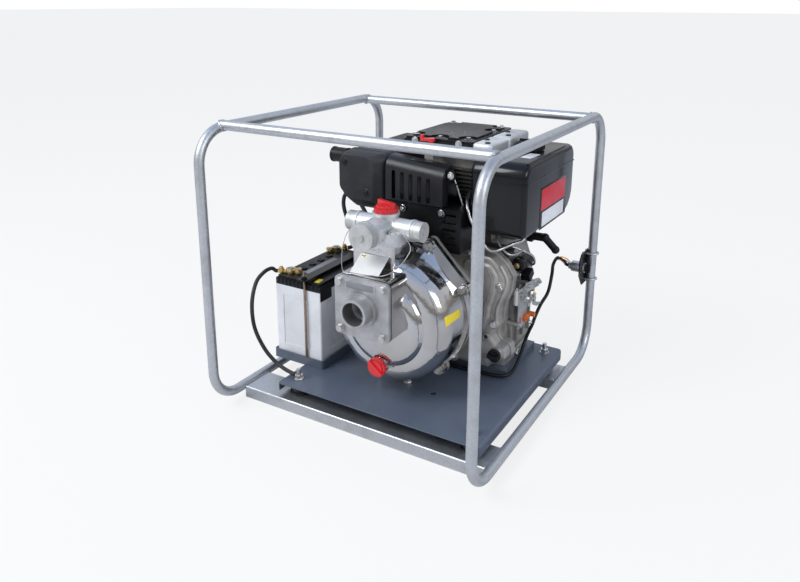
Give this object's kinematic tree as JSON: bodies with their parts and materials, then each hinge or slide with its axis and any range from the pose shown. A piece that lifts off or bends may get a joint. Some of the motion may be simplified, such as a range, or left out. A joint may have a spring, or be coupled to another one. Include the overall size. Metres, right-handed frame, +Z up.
{
  "type": "diesel firefighting pump",
  "caption": "Portable diesel-driven fire pump in a galvanised tubular carry frame, with suction and capped outlets, electric and recoil start, fuel tank and battery",
  "frame": {"origin": "middle of the footprint of the whole unit, on the floor", "axes": "+X to the right along the pump side with the fuel tank, +Y from the pump to the recoil starter, +Z up"},
  "size_m": [0.6467, 0.7066, 0.6428],
  "materials": {
    "galvanised_tube": "hot-dip galvanised",
    "plated_steel": "zinc plated",
    "grey_paint": "dark blue-grey satin",
    "black_paint": "black gloss",
    "rubber": "matte black",
    "white_plastic": "white case",
    "black_plastic": "black",
    "red_plastic": "red",
    "brass": "bare",
    "polished_aluminium": "polished casting",
    "cast_aluminium": "as cast",
    "bare_steel": "machined",
    "exhaust_steel": "heat-proof black",
    "orange_paint": "orange",
    "lead": "dull lead"
  },
  "bodies": {
    "frame_and_engine": {"left_hoop": "galvanised_tube", "right_hoop": "galvanised_tube", "front_top_rail": "galvanised_tube", "rear_top_rail": "galvanised_tube", "front_channel": "galvanised_tube", "rear_channel": "galvanised_tube", "rubber_mounts": "rubber", "plate_studs": "plated_steel", "base_plate": "grey_paint", "battery_tray": "black_paint", "battery_case": "white_plastic", "battery_lid": "black_plastic", "battery_posts": "lead", "negative_clamp": "brass", "positive_clamp": "brass", "battery_hold_down": "black_paint", "earth_cable": "rubber", "positive_cable": "rubber", "pump_casing": "polished_aluminium", "suction_gasket": "rubber", "suction_cover": "cast_aluminium", "suction_cover_bolts": "plated_steel", "back_plate": "cast_aluminium", "pump_bolts": "plated_steel", "outlet_manifold": "cast_aluminium", "cap_wire": "bare_steel", "crankcase": "cast_aluminium", "gear_case_cover": "cast_aluminium", "engine_bolts": "plated_steel", "cylinder_barrel": "cast_aluminium", "cylinder_head": "cast_aluminium", "muffler": "exhaust_steel", "muffler_guard": "black_paint", "muffler_top_cover": "black_paint", "air_cleaner": "black_plastic", "fan_shroud": "black_paint", "fuel_tank": "black_paint", "tank_bracket": "black_paint", "fuel_return_pipe": "rubber", "fuel_filter": "black_plastic", "governor_plate": "black_paint", "recoil_housing": "black_paint", "starter_motor": "black_paint", "switch_plate": "black_paint", "key_switch": "plated_steel", "switch_loom": "rubber"},
    "rotor": {"impeller": "brass", "crankshaft": "bare_steel"},
    "flap": {"suction_flap": "bare_steel"},
    "front_cap": {"front_outlet_cap": "cast_aluminium"},
    "left_cap": {"left_outlet_cap": "cast_aluminium"},
    "right_cap": {"right_outlet_cap": "cast_aluminium"},
    "prime_plug": {"priming_plug": "red_plastic"},
    "drain": {"drain_plug": "red_plastic"},
    "fuel_cap": {"tank_cap": "black_plastic"},
    "oil_cap": {"oil_filler_cap": "black_plastic"},
    "throttle": {"speed_lever": "orange_paint"},
    "decompressor": {"decompression_lever": "red_plastic"},
    "pull_grip": {"recoil_handle": "black_plastic"},
    "key_knob": {"switch_knob": "black_plastic"}
  },
  "joints": [
    {"name": "crank_turn", "type": "hinge", "parent": "frame_and_engine", "child": "rotor", "pos_m": [0.045, 0, 0.235], "axis": [0, 1, 0], "continuous": true},
    {"name": "flap_swing", "type": "hinge", "parent": "frame_and_engine", "child": "flap", "pos_m": [0.023, -0.24, 0.327], "axis": [1, 0, 0], "range_deg": [0, 24]},
    {"name": "front_cap_off", "type": "slide", "parent": "frame_and_engine", "child": "front_cap", "axis": [0, -1, 0], "range_m": [0, 0.06]},
    {"name": "left_cap_off", "type": "slide", "parent": "frame_and_engine", "child": "left_cap", "axis": [-1, 0, 0], "range_m": [0, 0.05]},
    {"name": "right_cap_off", "type": "slide", "parent": "frame_and_engine", "child": "right_cap", "axis": [1, 0, 0], "range_m": [0, 0.05]},
    {"name": "prime_plug_off", "type": "slide", "parent": "frame_and_engine", "child": "prime_plug", "axis": [0, 0, 1], "range_m": [0, 0.06]},
    {"name": "drain_off", "type": "slide", "parent": "frame_and_engine", "child": "drain", "axis": [0, -1, 0], "range_m": [0, 0.06]},
    {"name": "fuel_cap_off", "type": "slide", "parent": "frame_and_engine", "child": "fuel_cap", "axis": [0, 0, 1], "range_m": [0, 0.04]},
    {"name": "oil_cap_off", "type": "slide", "parent": "frame_and_engine", "child": "oil_cap", "axis": [0, -1, 0], "range_m": [0, 0.04]},
    {"name": "throttle_turn", "type": "hinge", "parent": "frame_and_engine", "child": "throttle", "pos_m": [0.234, 0.096, 0.185], "axis": [1, 0, 0], "range_deg": [-8, 35]},
    {"name": "decompressor_turn", "type": "hinge", "parent": "frame_and_engine", "child": "decompressor", "pos_m": [0.034, 0.008, 0.59], "axis": [0, 0, 1], "range_deg": [0, 40], "stiffness_Nm_per_rad": 0.02},
    {"name": "grip_pull", "type": "slide", "parent": "frame_and_engine", "child": "pull_grip", "axis": [1, 0, 0], "range_m": [0, 0.25], "stiffness_N_per_m": 60},
    {"name": "knob_turn", "type": "hinge", "parent": "frame_and_engine", "child": "key_knob", "pos_m": [0.3, 0.305, 0.252], "axis": [1, 0, 0], "range_deg": [0, 90]}
  ]
}
